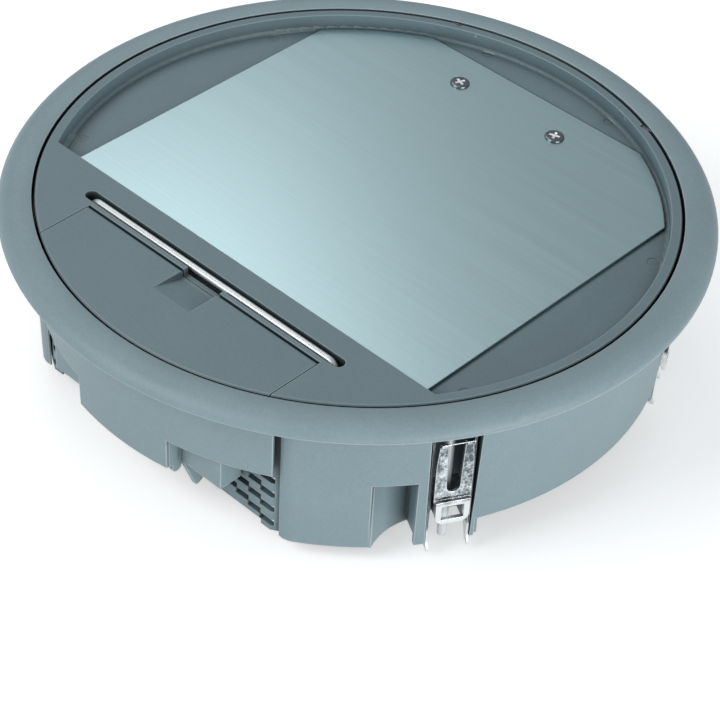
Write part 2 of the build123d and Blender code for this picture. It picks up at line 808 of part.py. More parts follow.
# Claws: each is a folded steel plate with a U slot, a shelf for its nut and a rounded nose
claw_half = guide_leg_in - claw_gap
nose_half = claw_half - nose_inset
nose_face_r = claw_face_r + claw_nose_reach
shelf_depth = claw_plate_bottom + sheet
claws, claw_nuts, claw_screws = {}, {}, {}
for bay_name, angle in zip(bay_names, bay_angles):
    with BuildPart() as claw:
        with BuildSketch(bay_plane(angle, claw_face_r - sheet)):
            Polygon(
                (-claw_top_half, -claw_top_depth),
                (claw_top_half, -claw_top_depth),
                (claw_half, -claw_top_depth - claw_shoulder),
                (claw_half, -claw_plate_bottom),
                (-claw_half, -claw_plate_bottom),
                (-claw_half, -claw_top_depth - claw_shoulder),
                align=None,
            )
        extrude(amount=sheet)
        # The two prongs turn outwards at their tips
        with BuildSketch(side_plane(angle)):
            Polygon(
                (claw_face_r - sheet, -claw_top_depth - 0.5),
                (claw_face_r - sheet, -claw_top_depth + 0.6),
                (claw_face_r + claw_tip_reach, -claw_top_depth + 2.4),
                (claw_face_r + claw_tip_reach, -claw_top_depth + 1.0),
                (claw_face_r, -claw_top_depth - 0.5),
                align=None,
            )
        extrude(amount=claw_top_half, both=True)
        with BuildSketch(bay_plane(angle, claw_back_r)):
            slot_foot = -claw_slot_bottom + claw_slot_w / 2
            with Locations((0, slot_foot)):
                Circle(claw_slot_w / 2)
            Polygon(
                (-claw_slot_w / 2, slot_foot),
                (claw_slot_w / 2, slot_foot),
                (claw_slot_top_w / 2, -claw_top_depth + 2.0),
                (-claw_slot_top_w / 2, -claw_top_depth + 2.0),
                align=None,
            )
        extrude(amount=2 * (claw_face_r - claw_back_r), mode=Mode.SUBTRACT)
        # Nose: a plate in front of the nut with a square window and round lower corners
        with BuildSketch(bay_plane(angle, nose_face_r - nose_sheet)) as nose_sketch:
            with Locations((0, -claw_plate_bottom + 1.0)):
                Rectangle(
                    2 * nose_half,
                    claw_bottom_depth - claw_plate_bottom + 1.0,
                    align=(Align.CENTER, Align.MAX),
                )
            fillet(nose_sketch.vertices().group_by(Axis.Y)[0], nose_corner_r)
            with Locations((0, -window_top_depth)):
                Rectangle(window_w, window_h, align=(Align.CENTER, Align.MAX), mode=Mode.SUBTRACT)
        extrude(amount=nose_sheet)
        # Cheeks on both sides of the nut
        for side in (-1, 1):
            with BuildSketch(side_plane(angle, side * (nose_half - sheet / 2))):
                Polygon(
                    (claw_back_r, -claw_plate_bottom),
                    (nose_face_r - sheet / 2, -claw_plate_bottom),
                    (nose_face_r - sheet / 2, -claw_bottom_depth + nose_corner_r),
                    (claw_back_r + 6.0, -claw_bottom_depth + nose_corner_r),
                    (claw_back_r, -shelf_depth - nut_h),
                    align=None,
                )
            extrude(amount=sheet / 2, both=True)
        # Shelf over the nut
        with BuildSketch(Plane.XY.offset(lid_top - claw_plate_bottom)):
            with Locations(Location((0, 0), angle)):
                with Locations(((claw_back_r + nose_face_r - sheet / 2) / 2, 0)):
                    Rectangle(nose_face_r - sheet / 2 - claw_back_r, 2 * nose_half)
                with Locations((claw_screw_r, 0)):
                    Circle(claw_screw_hole_d / 2, mode=Mode.SUBTRACT)
        extrude(amount=-sheet)
    claw.part.label = f"claw_{bay_name}"
    claws[bay_name] = claw.part
    with BuildPart() as claw_nut:
        with BuildSketch(Plane.XY.offset(lid_top - shelf_depth)):
            with Locations(Location((0, 0), angle)):
                with Locations((claw_screw_r, 0)):
                    Rectangle(nut_side, nut_side)
                    Circle(claw_screw_d / 2 + thread_gap, mode=Mode.SUBTRACT)
        extrude(amount=-nut_h)
    claw_nut.part.label = f"claw_nut_{bay_name}"
    claw_nuts[bay_name] = claw_nut.part
    # The slotted screw hangs by its head on the ledge and turns in place
    with BuildPart() as claw_screw:
        with BuildSketch(Plane.XY.offset(ledge_z)):
            with Locations(Location((0, 0), angle)):
                with Locations((claw_screw_r, 0)):
                    Circle(claw_head_d / 2)
        extrude(amount=claw_head_h)
        with BuildSketch(Plane.XY.offset(ledge_z + claw_head_h)):
            with Locations(Location((0, 0), angle)):
                with Locations((claw_screw_r, 0)):
                    Rectangle(2 * claw_head_d, claw_slot_cut)
        extrude(amount=-claw_head_h / 2, mode=Mode.SUBTRACT)
        with BuildSketch(Plane.XY.offset(ledge_z)):
            with Locations(Location((0, 0), angle)):
                with Locations((claw_screw_r, 0)):
                    Circle(claw_screw_d / 2)
        extrude(amount=ledge_depth - claw_screw_end_depth)
    claw_screw.part.label = f"claw_screw_{bay_name}"
    claw_screws[bay_name] = claw_screw.part

# Lid: a disc with a coved recess behind a raised strip, which holds the bar's slot
with BuildPart() as recess_tool:
    with BuildSketch(Plane.XZ):
        with BuildLine():
            Polyline(
                (0, lid_top + 1.0),
                (recess_r, lid_top + 1.0),
                (recess_r, lid_top),
                (recess_floor_r + cove_r, lid_top - recess_depth + cove_r),
            )
            ThreePointArc(
                (recess_floor_r + cove_r, lid_top - recess_depth + cove_r),
                (recess_floor_r + 0.7 * cove_r, lid_top - recess_depth + 0.3 * cove_r),
                (recess_floor_r, lid_top - recess_depth),
            )
            Polyline(
                (recess_floor_r, lid_top - recess_depth), (0, lid_top - recess_depth), (0, lid_top + 1.0)
            )
        make_face()
    revolve(axis=Axis.Z)
    with BuildSketch(Plane.XY.offset(lid_top - recess_depth)):
        with Locations((0, strip_edge_y)):
            Rectangle(2 * flange_r, 2 * flange_r, align=(Align.CENTER, Align.MIN))
    extrude(amount=recess_depth + 1.0, mode=Mode.INTERSECT)

with BuildPart() as lid:
    with BuildSketch(Plane.XZ):
        Polygon(
            (0, lid_top),
            (lid_r - lid_chamfer, lid_top),
            (lid_r, lid_top - lid_chamfer),
            (lid_r, lid_top - lid_lip_depth),
            (lid_under_r, lid_top - lid_lip_depth),
            (lid_under_r, lid_top - pan_bottom),
            (rib_r, lid_top - pan_bottom),
            (rib_r, lid_top - rib_depth),
            (rib_r - rib_width, lid_top - rib_depth),
            (rib_r - rib_width, lid_top - pan_bottom),
            (0, lid_top - pan_bottom),
            align=None,
        )
    revolve(axis=Axis.Z)
    # Bosses that guide the legs of the bar
    with BuildSketch(Plane.XY.offset(lid_top - guide_boss_depth)):
        with Locations((-bar_leg_x, bar_y), (bar_leg_x, bar_y)):
            Circle(guide_boss_d / 2)
    extrude(amount=guide_boss_depth - pan_bottom)
    add(recess_tool.part, mode=Mode.SUBTRACT)
    with BuildSketch(Plane.XY.offset(lid_top - recess_depth)):
        for sx in (-1, 1):
            with Locations(
                (sx * mark_x, mark_rear_y), (sx * mark_x, mark_front_y), (sx * mark_back_x, mark_back_y)
            ):
                Circle(mark_d / 2)
    extrude(amount=-mark_depth, mode=Mode.SUBTRACT)
    # Slot and leg bores for the bar
    with BuildSketch(Plane.XY.offset(lid_top)):
        with Locations((0, bar_y)):
            SlotOverall(2 * slot_half_len, slot_w)
    extrude(amount=-slot_depth, mode=Mode.SUBTRACT)
    with BuildSketch(Plane.XY.offset(lid_top)):
        with Locations((-bar_leg_x, bar_y), (bar_leg_x, bar_y)):
            Circle(bar_d / 2 + bar_clearance)
    extrude(amount=-guide_boss_depth, mode=Mode.SUBTRACT)
    # Ledge and through opening under the cable flap
    pocket_y = flap_pin_y + flap_thickness / 2 + flap_gap
    with BuildSketch(Plane.XY.offset(lid_top)):
        with Locations((0, pocket_y)):
            Rectangle(2 * (flap_half_w + flap_gap), flange_r, align=(Align.CENTER, Align.MAX))
    extrude(amount=-flap_ledge, mode=Mode.SUBTRACT)
    with BuildSketch(Plane.XY.offset(lid_top)):
        with Locations((0, flap_opening_y)):
            Rectangle(2 * flap_opening_half, flange_r, align=(Align.CENTER, Align.MAX))
    extrude(amount=-rib_depth - 1.0, mode=Mode.SUBTRACT)
    # Finger recess between the flap and the slot
    with BuildSketch(Plane.XY.offset(lid_top)):
        with Locations((finger_x, (pocket_y + bar_y) / 2)):
            Rectangle(2 * finger_half_w, bar_y - pocket_y)
    extrude(amount=-finger_depth - 0.6, mode=Mode.SUBTRACT)
    # Edge relief and bores for the hinge pins, and bores for the flap pins
    for sx in (-1, 1):
        with BuildSketch(Plane.XY.offset(lid_top)):
            with Locations((sx * (hinge_relief_in + hinge_relief_out) / 2, hinge_relief_y)):
                Rectangle(
                    hinge_relief_out - hinge_relief_in, flange_r, align=(Align.CENTER, Align.MIN)
                )
        extrude(amount=-hinge_relief_depth, mode=Mode.SUBTRACT)
        with BuildSketch(Plane.YZ.offset(sx * hinge_pin_in)):
            with Locations((hinge_y, lid_top - hinge_drop)):
                Circle(hinge_pin_d / 2)
        extrude(amount=sx * (hinge_relief_out - hinge_pin_in), mode=Mode.SUBTRACT)
        with BuildSketch(Plane.YZ.offset(sx * flap_half_w)):
            with Locations((flap_pin_y, lid_top - flap_thickness / 2)):
                Circle(flap_pin_d / 2)
        extrude(amount=sx * (flap_pin_out - flap_half_w), mode=Mode.SUBTRACT)
    # Holes for the plate's screws
    with BuildSketch(Plane.XY.offset(lid_top - recess_depth)):
        with Locations((-plate_screw_x, plate_screw_y), (plate_screw_x, plate_screw_y)):
            Circle(plate_screw_d / 2 + screw_gap)
    extrude(amount=-pan_thickness, mode=Mode.SUBTRACT)
lid.part.label = "lid"

# Steel plate in the recess, cut to the curve of the recess at its sides
plate_z = lid_top - recess_depth
with BuildPart() as lid_plate:
    with BuildSketch(Plane.XY.offset(plate_z)):
        with Locations((0, strip_edge_y + plate_gap)):
            Rectangle(
                2 * plate_half_w,
                plate_back_y - strip_edge_y - plate_gap,
                align=(Align.CENTER, Align.MIN),
            )
        Circle(plate_r, mode=Mode.INTERSECT)
        with Locations((-plate_screw_x, plate_screw_y), (plate_screw_x, plate_screw_y)):
            Circle(plate_screw_d / 2 + screw_gap, mode=Mode.SUBTRACT)
    extrude(amount=plate_thickness)
lid_plate.part.label = "lid_plate"

lid_plate_screws = Compound(
    label="lid_plate_screws",
    children=[
        pan_screw(
            sx * plate_screw_x,
            plate_screw_y,
            plate_z + plate_thickness,
            plate_screw_d,
            plate_screw_len,
            plate_screw_head_d,
            plate_screw_head_h,
        )
        for sx in (-1, 1)
    ],
)


def cross_pins(pin_d, y, z, inner_x, outer_x):
    """Two pins along X, mirrored to both sides."""
    pins = []
    for sx in (-1, 1):
        with BuildPart() as pin:
            with BuildSketch(Plane.YZ.offset(sx * inner_x)):
                with Locations((y, z)):
                    Circle(pin_d / 2)
            extrude(amount=sx * (outer_x - inner_x))
        pins.append(pin.part)
    return pins


lid_hinge_pins = Compound(
    label="lid_hinge_pins",
    children=cross_pins(hinge_pin_d, hinge_y, lid_top - hinge_drop, hinge_pin_in, hinge_pin_out),
)
flap_pins = Compound(
    label="flap_pins",
    children=cross_pins(
        flap_pin_d, flap_pin_y, lid_top - flap_thickness / 2, flap_pin_in, flap_pin_out
    ),
)

# Handle bar: a bent wire with a leg at each end, and a clip on each leg
with BuildPart() as handle_bar:
    with BuildLine(Plane.XZ.offset(-bar_y)):
        FilletPolyline(
            (-bar_leg_x, lid_top - bar_leg_depth),
            (-bar_leg_x, lid_top - bar_drop),
            (bar_leg_x, lid_top - bar_drop),
            (bar_leg_x, lid_top - bar_leg_depth),
            radius=bar_bend_r,
        )
    with BuildSketch(Plane.XY.offset(lid_top - bar_leg_depth)):
        with Locations((-bar_leg_x, bar_y)):
            Circle(bar_d / 2)
    sweep()
handle_bar.part.label = "handle_bar"

clips = []
for sx in (-1, 1):
    with BuildPart() as clip:
        with BuildSketch(Plane.XY.offset(lid_top - guide_boss_depth - bar_travel - clip_rest_gap)):
            with Locations((sx * bar_leg_x, bar_y)):
                Circle(clip_d / 2)
                Circle(bar_d / 2, mode=Mode.SUBTRACT)
        extrude(amount=-clip_h)
    clips.append(clip.part)
handle_clips = Compound(label="handle_clips", children=clips)

# Cable flap: hinged along its inner edge, with a lip that fills the gap in the lid's rim
with BuildPart() as cable_flap:
    with BuildSketch(Plane.XY.offset(lid_top - flap_thickness)):
        Circle(lid_r)
        with Locations((0, flap_pin_y)):
            Rectangle(
                2 * flap_half_w, flange_r, align=(Align.CENTER, Align.MAX), mode=Mode.INTERSECT
            )
    extrude(amount=flap_thickness)
    chamfer(cable_flap.edges().group_by(Axis.Z)[-1].filter_by(GeomType.CIRCLE), lid_chamfer)
    with BuildSketch(Plane.YZ.offset(-flap_half_w)):
        with Locations((flap_pin_y, lid_top - flap_thickness / 2)):
            Circle(flap_thickness / 2)
    extrude(amount=2 * flap_half_w)
    with BuildSketch(Plane.XY.offset(lid_top - flap_lip_depth)):
        Circle(lid_r)
        Circle(lid_r - flap_lip_w, mode=Mode.SUBTRACT)
        with Locations((0, flap_opening_y)):
            Rectangle(
                2 * (flap_opening_half - flap_gap),
                flange_r,
                align=(Align.CENTER, Align.MAX),
                mode=Mode.INTERSECT,
            )
    extrude(amount=flap_lip_depth - flap_thickness)
    # Finger recess that falls towards the bar
    with BuildSketch(Plane.YZ.offset(finger_x - finger_half_w)):
        Polygon(
            (finger_front_y, lid_top),
            (flap_pin_y + flap_thickness, lid_top + 1.0),
            (flap_pin_y + flap_thickness, lid_top - finger_depth),
            (flap_pin_y, lid_top - finger_depth),
            align=None,
        )
    extrude(amount=2 * finger_half_w, mode=Mode.SUBTRACT)
    for sx in (-1, 1):
        with BuildSketch(Plane.YZ.offset(sx * flap_pin_in)):
            with Locations((flap_pin_y, lid_top - flap_thickness / 2)):
                Circle(flap_pin_d / 2 + pin_clearance)
        extrude(amount=sx * (flap_half_w - flap_pin_in), mode=Mode.SUBTRACT)
cable_flap.part.label = "cable_flap"

pieces = [
    mounting_frame.part,
    device_housing.part,
    housing_screws,
    *device_boxes.values(),
    *box_covers.values(),
    box_screws,
    *power_sockets.values(),
    *earth_contacts.values(),
    centre_screws,
    *data_outlets.values(),
    *claw_guides.values(),
    *claws.values(),
    *claw_nuts.values(),
    *claw_screws.values(),
    lid.part,
    lid_plate.part,
    lid_plate_screws,
    lid_hinge_pins,
    handle_bar.part,
    handle_clips,
    cable_flap.part,
    flap_pins,
]
for piece in pieces:
    export_step(piece, f"parts/{piece.label}.step")
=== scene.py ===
import json
from math import cos, radians, sin

import bpy
from mathutils import Matrix, Vector

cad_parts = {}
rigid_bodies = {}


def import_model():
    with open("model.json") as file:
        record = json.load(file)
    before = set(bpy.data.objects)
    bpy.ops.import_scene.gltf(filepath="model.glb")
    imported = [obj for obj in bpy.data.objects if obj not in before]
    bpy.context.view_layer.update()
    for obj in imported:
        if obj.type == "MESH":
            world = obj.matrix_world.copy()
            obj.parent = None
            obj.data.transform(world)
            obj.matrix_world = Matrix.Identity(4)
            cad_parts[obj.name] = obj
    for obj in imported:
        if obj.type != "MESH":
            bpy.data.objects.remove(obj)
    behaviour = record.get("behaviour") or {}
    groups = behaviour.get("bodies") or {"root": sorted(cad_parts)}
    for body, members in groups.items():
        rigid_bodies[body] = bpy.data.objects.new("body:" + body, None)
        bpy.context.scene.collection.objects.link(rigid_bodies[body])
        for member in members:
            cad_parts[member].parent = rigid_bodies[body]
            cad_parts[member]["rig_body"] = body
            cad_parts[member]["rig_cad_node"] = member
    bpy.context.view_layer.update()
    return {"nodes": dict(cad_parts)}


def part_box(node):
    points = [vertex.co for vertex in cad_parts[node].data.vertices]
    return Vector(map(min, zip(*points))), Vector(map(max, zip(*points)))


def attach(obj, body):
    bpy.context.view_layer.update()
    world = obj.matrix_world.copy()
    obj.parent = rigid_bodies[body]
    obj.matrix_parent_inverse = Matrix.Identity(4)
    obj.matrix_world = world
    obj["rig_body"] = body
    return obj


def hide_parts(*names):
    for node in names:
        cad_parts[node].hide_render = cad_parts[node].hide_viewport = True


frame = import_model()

nodes = frame["nodes"]
bpy.ops.object.select_all(action="DESELECT")

# Camera. It looks down at the lid from the front right corner, with the slight roll of the
# photograph, and its shift puts the floor box high in the frame.
lid_top = 0.084
camera_turn = radians(41.92)
camera_height = radians(37.23)
camera_roll = radians(3.28)
camera_distance = 1.0066
back = Vector((
    sin(camera_turn) * cos(camera_height),
    -cos(camera_turn) * cos(camera_height),
    sin(camera_height),
))
right = Vector((cos(camera_turn), sin(camera_turn), 0))
up = back.cross(right)
rolled_right = cos(camera_roll) * right + sin(camera_roll) * up
rolled_up = cos(camera_roll) * up - sin(camera_roll) * right
camera_axes = Matrix((rolled_right, rolled_up, back)).transposed().to_4x4()
camera_data = bpy.data.cameras.new("photo_camera")
camera_data.sensor_width = 36.0
camera_data.lens = 118.26
camera_data.shift_x = 0.0005
camera_data.shift_y = -0.241
camera_data.clip_end = 20.0
camera = bpy.data.objects.new("photo_camera", camera_data)
bpy.context.scene.collection.objects.link(camera)
camera.matrix_world = Matrix.Translation(Vector((0, 0, lid_top)) + camera_distance * back) @ camera_axes
bpy.context.scene.camera = camera
bpy.context.scene.view_settings.view_transform = "Standard"


# Floor. A wide pale sheet, as under a product on a studio table. Its glow lifts it to white for the
# camera and in mirrors and glass, and it keeps the soft shadow of the floor box.
def new_material(name):
    material = bpy.data.materials.new(name)
    material.use_nodes = True
    tree = material.node_tree
    return material, tree, tree.nodes["Principled BSDF"]


def feed(tree, socket, value):
    if isinstance(value, bpy.types.NodeSocket):
        tree.links.new(value, socket)
    else:
        socket.default_value = value


def calculate(tree, operation, first, second, clamp=False):
    node = tree.nodes.new("ShaderNodeMath")
    node.operation = operation
    node.use_clamp = clamp
    feed(tree, node.inputs[0], first)
    feed(tree, node.inputs[1], second)
    return node.outputs["Value"]


floor_size = 6.0
floor_drop = 0.0005
floor_tone = (0.86, 0.87, 0.87)
floor_lift = (0.45, 0.45, 0.45)
bpy.ops.mesh.primitive_plane_add(size=floor_size, location=(0, 0, -floor_drop))
floor = bpy.context.object
floor.name = "studio_floor"
floor_material, tree, shader = new_material("studio_floor")
shader.inputs["Base Color"].default_value = (*floor_tone, 1)
shader.inputs["Roughness"].default_value = 0.9
rays = tree.nodes.new("ShaderNodeLightPath").outputs
glow = tree.nodes.new("ShaderNodeEmission")
glow.inputs["Color"].default_value = (*floor_lift, 1)
seen_or_mirrored = calculate(tree, "ADD", rays["Is Camera Ray"], rays["Is Glossy Ray"])
seen_or_through = calculate(tree, "ADD", seen_or_mirrored, rays["Is Transmission Ray"])
tree.links.new(seen_or_through, glow.inputs["Strength"])
lifted_floor = tree.nodes.new("ShaderNodeAddShader")
tree.links.new(shader.outputs["BSDF"], lifted_floor.inputs[0])
tree.links.new(glow.outputs["Emission"], lifted_floor.inputs[1])
tree.links.new(lifted_floor.outputs["Shader"], tree.nodes["Material Output"].inputs["Surface"])
floor.data.materials.append(floor_material)

# Light. A pale room that the camera sees as white, a wide soft box over the front left, a low one
# at the right for the skirt and the claw bays, and one at the back that the steel plate mirrors.
room_tone = (0.92, 0.96, 1.0)
room_strength = 0.37
world = bpy.data.worlds.new("studio_room")
bpy.context.scene.world = world
world.use_nodes = True
room = world.node_tree
sky = room.nodes["Background"]
sky.inputs["Color"].default_value = (*room_tone, 1)
sky.inputs["Strength"].default_value = room_strength
white = room.nodes.new("ShaderNodeBackground")
white.inputs["Color"].default_value = (1, 1, 1, 1)
white.inputs["Strength"].default_value = 1.0
seen = room.nodes.new("ShaderNodeLightPath")
choice = room.nodes.new("ShaderNodeMixShader")
room.links.new(seen.outputs["Is Camera Ray"], choice.inputs["Fac"])
room.links.new(sky.outputs["Background"], choice.inputs[1])
room.links.new(white.outputs["Background"], choice.inputs[2])
room.links.new(choice.outputs["Shader"], room.nodes["World Output"].inputs["Surface"])


def soft_box(name, place, target, size, power):
    lamp = bpy.data.lights.new(name, "AREA")
    lamp.shape = "RECTANGLE"
    lamp.size, lamp.size_y = size
    lamp.energy = power
    lamp_object = bpy.data.objects.new(name, lamp)
    bpy.context.scene.collection.objects.link(lamp_object)
    aim = (Vector(target) - Vector(place)).to_track_quat("-Z", "Y")
    lamp_object.matrix_world = Matrix.Translation(place) @ aim.to_matrix().to_4x4()


soft_box("soft_box_left", place=(-0.45, -1.2, 1.1), target=(0, 0, 0.06), size=(0.9, 0.9), power=12.0)
soft_box("soft_box_right", place=(1.38, -0.20, 0.32), target=(0, 0, 0.05), size=(0.9, 0.5), power=10.5)
soft_box("soft_box_back", place=(-0.67, 0.33, 1.02), target=(0, 0, lid_top), size=(0.6, 0.6), power=2.2)

# Mounting frame. One piece of grey glass-filled plastic with a fine spark-eroded grain, moulded
# in a tool, so that its edges are slightly round. Its edges are a little paler than its faces,
# partly from wear and partly as a painted highlight.
merge_distance = 0.000002


def dress_node(node, material, smooth_deg=32.0):
    source = nodes[node]
    piece = source.copy()
    piece.data = source.data.copy()
    piece.name = node + "_dressed"
    piece.parent = None
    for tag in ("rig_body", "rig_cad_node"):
        if tag in piece:
            del piece[tag]
    bpy.context.scene.collection.objects.link(piece)
    bpy.context.view_layer.objects.active = piece
    piece.select_set(True)
    bpy.ops.object.mode_set(mode="EDIT")
    bpy.ops.mesh.select_all(action="SELECT")
    bpy.ops.mesh.remove_doubles(threshold=merge_distance)
    bpy.ops.object.mode_set(mode="OBJECT")
    bpy.ops.mesh.customdata_custom_splitnormals_clear()
    bpy.ops.object.shade_smooth_by_angle(angle=radians(smooth_deg))
    piece.select_set(False)
    piece.data.materials.clear()
    piece.data.materials.append(material)
    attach(piece, source["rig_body"])
    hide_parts(node)


def add_input(group, name, kind, value=None):
    socket = group.interface.new_socket(name=name, in_out="INPUT", socket_type=kind)
    if value is not None:
        socket.default_value = value


def add_output(group, name, kind):
    group.interface.new_socket(name=name, in_out="OUTPUT", socket_type=kind)


def noise(tree, position, scale, detail, roughness=0.5):
    node = tree.nodes.new("ShaderNodeTexNoise")
    node.inputs["Detail"].default_value = detail
    node.inputs["Roughness"].default_value = roughness
    feed(tree, node.inputs["Scale"], scale)
    tree.links.new(position, node.inputs["Vector"])
    return node.outputs["Fac"]


def mapped(tree, value, from_range=(0.0, 1.0), to_range=(0.0, 1.0)):
    node = tree.nodes.new("ShaderNodeMapRange")
    node.inputs["From Min"].default_value, node.inputs["From Max"].default_value = from_range
    node.inputs["To Min"].default_value, node.inputs["To Max"].default_value = to_range
    tree.links.new(value, node.inputs["Value"])
    return node.outputs["Result"]


def group_node(tree, group, **values):
    node = tree.nodes.new("ShaderNodeGroup")
    node.node_tree = group
    for name, value in values.items():
        feed(tree, node.inputs[name.replace("_", " ")], value)
    return node.outputs


def mixed(tree, factor, first, second):
    node = tree.nodes.new("ShaderNodeMix")
    node.data_type = "RGBA"
    tree.links.new(factor, node.inputs["Factor"])
    for name, colour in (("A", first), ("B", second)):
        feed(tree, node.inputs[name], colour if isinstance(colour, bpy.types.NodeSocket) else (*colour, 1))
    return node.outputs["Result"]


def bumped(tree, height, normal, strength, distance):
    node = tree.nodes.new("ShaderNodeBump")
    node.inputs["Strength"].default_value = strength
    node.inputs["Distance"].default_value = distance
    tree.links.new(height, node.inputs["Height"])
    tree.links.new(normal, node.inputs["Normal"])
    return node.outputs["Normal"]


def brightened(tone, factor):
    return [min(1.0, factor * part) for part in tone]


grain_group = bpy.data.node_groups.new("moulded_grain", "ShaderNodeTree")
add_input(grain_group, "Position", "NodeSocketVector")
add_input(grain_group, "Grain Size", "NodeSocketFloat", 1100.0)
add_output(grain_group, "Height", "NodeSocketFloat")
add_output(grain_group, "Mottle", "NodeSocketFloat")
entry = grain_group.nodes.new("NodeGroupInput").outputs
leave = grain_group.nodes.new("NodeGroupOutput").inputs
fine = noise(grain_group, entry["Position"], entry["Grain Size"], detail=3.0, roughness=0.6)
cloud = noise(grain_group, entry["Position"], scale=38.0, detail=4.0)
grain_group.links.new(fine, leave["Height"])
grain_group.links.new(cloud, leave["Mottle"])

mask_samples = 6
# Edge mask from the Bevel node's rounded normal. It marks edge wear on the zinc, a painted highlight on the
# mouldings' edges and a painted shadow line round the lid plate. Its rounded normal also rounds the edges.
edge_group = bpy.data.node_groups.new("edge_mask", "ShaderNodeTree")
add_input(edge_group, "Radius", "NodeSocketFloat", 0.0006)
add_input(edge_group, "Sharpness", "NodeSocketFloat", 12.0)
add_output(edge_group, "Mask", "NodeSocketFloat")
add_output(edge_group, "Rounded Normal", "NodeSocketVector")
entry = edge_group.nodes.new("NodeGroupInput").outputs
leave = edge_group.nodes.new("NodeGroupOutput").inputs
bevel = edge_group.nodes.new("ShaderNodeBevel")
bevel.samples = mask_samples
surface = edge_group.nodes.new("ShaderNodeNewGeometry")
facing = edge_group.nodes.new("ShaderNodeVectorMath")
facing.operation = "DOT_PRODUCT"
edge_group.links.new(entry["Radius"], bevel.inputs["Radius"])
edge_group.links.new(bevel.outputs["Normal"], facing.inputs[0])
edge_group.links.new(surface.outputs["Normal"], facing.inputs[1])
turned = calculate(edge_group, "SUBTRACT", 1.0, facing.outputs["Value"])
stronger = calculate(edge_group, "MULTIPLY", turned, entry["Sharpness"], clamp=True)
edge_group.links.new(stronger, leave["Mask"])
edge_group.links.new(bevel.outputs["Normal"], leave["Rounded Normal"])

cavity_group = bpy.data.node_groups.new("cavity_shade", "ShaderNodeTree")
add_input(cavity_group, "Reach", "NodeSocketFloat", 0.005)
add_output(cavity_group, "Shade", "NodeSocketFloat")
entry = cavity_group.nodes.new("NodeGroupInput").outputs
leave = cavity_group.nodes.new("NodeGroupOutput").inputs
hollow = cavity_group.nodes.new("ShaderNodeAmbientOcclusion")
hollow.samples = mask_samples
cavity_group.links.new(entry["Reach"], hollow.inputs["Distance"])
open_part = mapped(cavity_group, hollow.outputs["AO"], from_range=(0.30, 0.86), to_range=(0.10, 1.0))
cavity_group.links.new(open_part, leave["Shade"])


def shaded(tree, colour, reach):
    cavity = group_node(tree, cavity_group, Reach=reach)
    darker = tree.nodes.new("ShaderNodeVectorMath")
    darker.operation = "SCALE"
    tree.links.new(colour, darker.inputs[0])
    tree.links.new(cavity["Shade"], darker.inputs["Scale"])
    return darker.outputs["Vector"]


roughness_spread = 0.06


def moulded_plastic(name, tone, edge_tone_worn_and_highlit, grain_size=800.0, grain_depth=0.00022, roughness=0.5,
                    cavity_reach=0.004):
    tone_spread = 0.20
    fleck_share = 0.6
    edge_radius = 0.0008
    material, tree, shader = new_material(name)
    place = tree.nodes.new("ShaderNodeTexCoord")
    grain = group_node(tree, grain_group, Position=place.outputs["Object"], Grain_Size=grain_size)
    edges = group_node(tree, edge_group, Radius=edge_radius)
    flecks = tree.nodes.new("ShaderNodeMix")
    flecks.inputs["Factor"].default_value = fleck_share
    tree.links.new(grain["Mottle"], flecks.inputs["A"])
    tree.links.new(grain["Height"], flecks.inputs["B"])
    patches = mixed(tree, flecks.outputs["Result"], brightened(tone, 1 - tone_spread),
                    brightened(tone, 1 + tone_spread))
    # Edges are mixed towards a paler tone, partly as wear and partly as a painted highlight.
    worn_and_highlit = mixed(tree, edges["Mask"], patches, edge_tone_worn_and_highlit)
    tree.links.new(shaded(tree, worn_and_highlit, cavity_reach), shader.inputs["Base Color"])
    rough_range = (roughness - roughness_spread, roughness + roughness_spread)
    tree.links.new(mapped(tree, grain["Mottle"], to_range=rough_range), shader.inputs["Roughness"])
    grained = bumped(tree, grain["Height"], edges["Rounded Normal"], strength=0.5, distance=grain_depth)
    tree.links.new(grained, shader.inputs["Normal"])
    return material


frame_grey = moulded_plastic("frame_grey", tone=(0.226, 0.312, 0.340), edge_tone_worn_and_highlit=(0.56, 0.65, 0.67))
dress_node("mounting_frame", frame_grey)

# Device housing. A grey moulding with staggered vents and fins, hung inside the frame by screws.
# Its inside is painted nearly black as shade, because next to no light gets in through the vents.
inside_half_width = 0.0915
inside_half_length = 0.1130
inside_shade_tone = (0.035, 0.048, 0.054)
housing_grey = moulded_plastic("housing_grey", tone=(0.205, 0.290, 0.325), edge_tone_worn_and_highlit=(0.34, 0.44, 0.47),
                               roughness=0.55, cavity_reach=0.022)
tree = housing_grey.node_tree
shader = tree.nodes["Principled BSDF"]
place = tree.nodes.new("ShaderNodeTexCoord")
spot = tree.nodes.new("ShaderNodeSeparateXYZ")
tree.links.new(place.outputs["Object"], spot.inputs["Vector"])
# Painted shade: inside the walls the colour is swapped for a near-black tone.
from_middle_x = calculate(tree, "ABSOLUTE", spot.outputs["X"], 0.0)
from_middle_y = calculate(tree, "ABSOLUTE", spot.outputs["Y"], 0.0)
within_width = calculate(tree, "LESS_THAN", from_middle_x, inside_half_width)
within_length = calculate(tree, "LESS_THAN", from_middle_y, inside_half_length)
inside_shade_mask = calculate(tree, "MULTIPLY", within_width, within_length)
outer_colour = shader.inputs["Base Color"].links[0].from_socket
tree.links.new(mixed(tree, inside_shade_mask, outer_colour, inside_shade_tone), shader.inputs["Base Color"])
dress_node("device_housing", housing_grey)

# Lid and cable flap. Two mouldings with the frame's grain in a darker grey: a disc that is hinged
# to the frame at its back, and a flap that is hinged to the disc at the front.
flat_smooth_deg = 11.0
lid_grey = moulded_plastic("lid_grey", tone=(0.146, 0.212, 0.238), edge_tone_worn_and_highlit=(0.32, 0.41, 0.43),
                           cavity_reach=0.011)
dress_node("lid", lid_grey, flat_smooth_deg)
dress_node("cable_flap", lid_grey, flat_smooth_deg)
